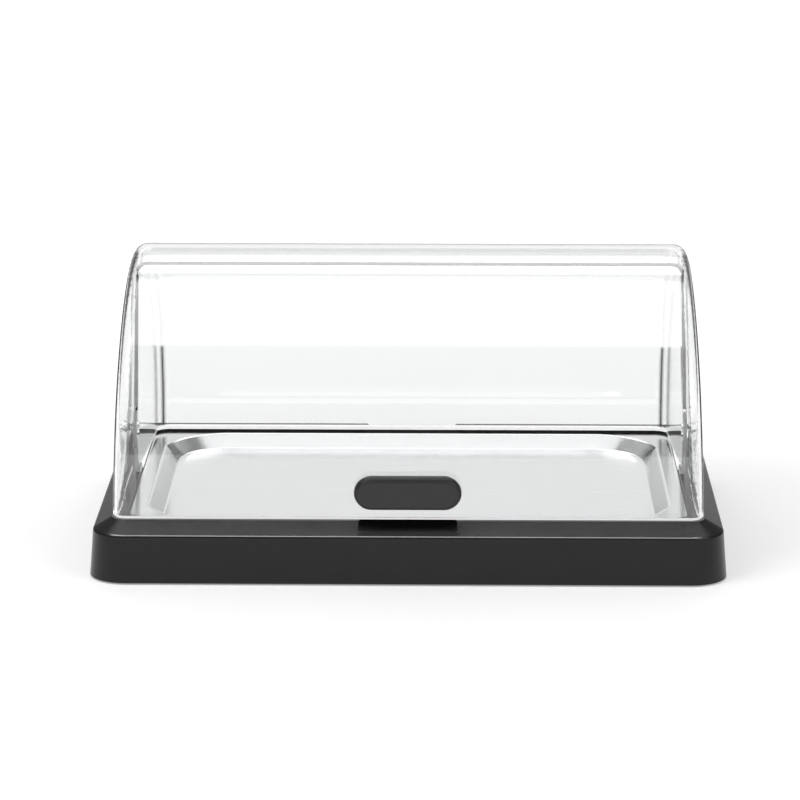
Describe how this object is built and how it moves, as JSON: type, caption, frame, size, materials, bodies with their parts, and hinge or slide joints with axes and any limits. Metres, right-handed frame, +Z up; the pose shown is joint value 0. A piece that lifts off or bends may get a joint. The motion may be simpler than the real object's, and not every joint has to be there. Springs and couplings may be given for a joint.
{
  "type": "refrigerated buffet display",
  "caption": "Counter-top chilled display: black insulated base with a cooling well, stainless tray and a clear roll-top cover of two nested shells with a pill-shaped handle.",
  "frame": {"origin": "centre of the resting plane, under the middle of the base", "axes": "+X along the length to the user's right, +Y to the rear, +Z up"},
  "size_m": [0.602, 0.401, 0.282],
  "materials": {
    "base_plastic": "black moulded ABS, fine satin grain",
    "plate_plastic": "black sheet plastic, matt",
    "foam": "rigid insulating foam, fine cells",
    "foot_rubber": "black rubber, matt",
    "screw_steel": "plain stainless steel",
    "tray_steel": "stainless steel, fine satin finish",
    "pack_plastic": "blow-moulded polyethylene, semi-gloss",
    "gel": "frozen eutectic gel",
    "cap_plastic": "pale moulded plastic",
    "clear_cover": "clear polycarbonate, polished edges",
    "clear_pin": "clear polycarbonate, turned and polished",
    "pivot_cap_plastic": "dark moulded plastic, semi-gloss",
    "handle_plastic": "black satin plastic"
  },
  "bodies": {
    "base": {"base_shell": "base_plastic", "insulation_foam": "foam", "bottom_plate": "plate_plastic", "bottom_screws": "screw_steel", "foot_front_left": "foot_rubber", "foot_rear_left": "foot_rubber", "foot_rear_right": "foot_rubber", "foot_front_right": "foot_rubber"},
    "left_pack": {"cooling_pack_left": "pack_plastic", "cooling_gel_left": "gel", "pack_cap_left": "cap_plastic"},
    "right_pack": {"cooling_pack_right": "pack_plastic", "cooling_gel_right": "gel", "pack_cap_right": "cap_plastic"},
    "tray": {"tray": "tray_steel"},
    "rear_cover": {"rear_shell": "clear_cover", "pivot_pin_left": "clear_pin", "pivot_pin_right": "clear_pin", "pivot_cap_left": "pivot_cap_plastic", "pivot_cap_right": "pivot_cap_plastic"},
    "front_cover": {"front_shell": "clear_cover", "handle": "handle_plastic", "handle_screws": "screw_steel"}
  },
  "joints": [
    {"name": "left_pack_lift", "type": "slide", "parent": "base", "child": "left_pack", "axis": [0, 0, 1], "range_m": [0, 0.08]},
    {"name": "right_pack_lift", "type": "slide", "parent": "left_pack", "child": "right_pack", "axis": [0, 0, 1], "range_m": [0, 0.08]},
    {"name": "tray_lift", "type": "slide", "parent": "right_pack", "child": "tray", "axis": [0, 0, 1], "range_m": [0, 0.08]},
    {"name": "cover_lift", "type": "slide", "parent": "tray", "child": "rear_cover", "axis": [0, 0, 1], "range_m": [0, 0.1]},
    {"name": "roll_open", "type": "hinge", "parent": "rear_cover", "child": "front_cover", "pos_m": [0, 0, 0.1], "axis": [-1, 0, 0], "range_deg": [0, 90]}
  ]
}
